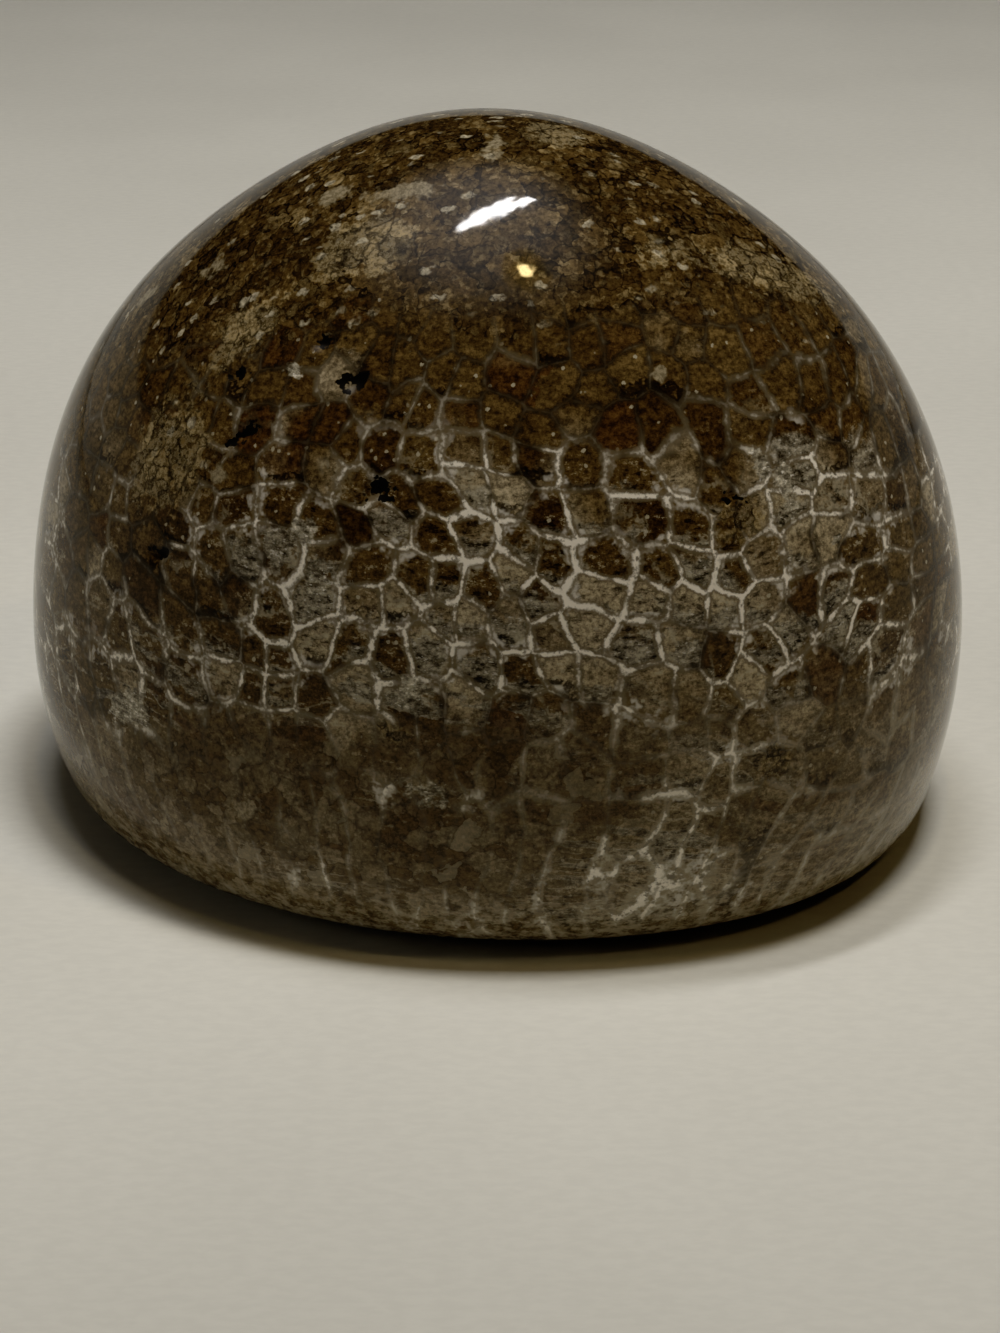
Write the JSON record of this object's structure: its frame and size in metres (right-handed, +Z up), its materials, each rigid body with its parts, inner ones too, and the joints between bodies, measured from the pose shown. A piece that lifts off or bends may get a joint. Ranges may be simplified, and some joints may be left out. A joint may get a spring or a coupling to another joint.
{
  "type": "polished fossil coral",
  "caption": "Hand-sized domed stone of honeycomb fossil coral, polished all over, with a flat ground base to stand on; a display piece or paperweight.",
  "frame": {"origin": "centre of the stone's plan, on the plane of its flat base", "axes": "+Z up through the crown, +X along the stone's width to the right as seen from the front, the side that the picture shows facing -Y"},
  "size_m": [0.072, 0.0596, 0.0527],
  "materials": {
    "polished_coral": "high polish over dark brown coral with pale grey cell walls"
  },
  "bodies": {
    "root": {"coral_stone": "polished_coral"}
  },
  "joints": []
}
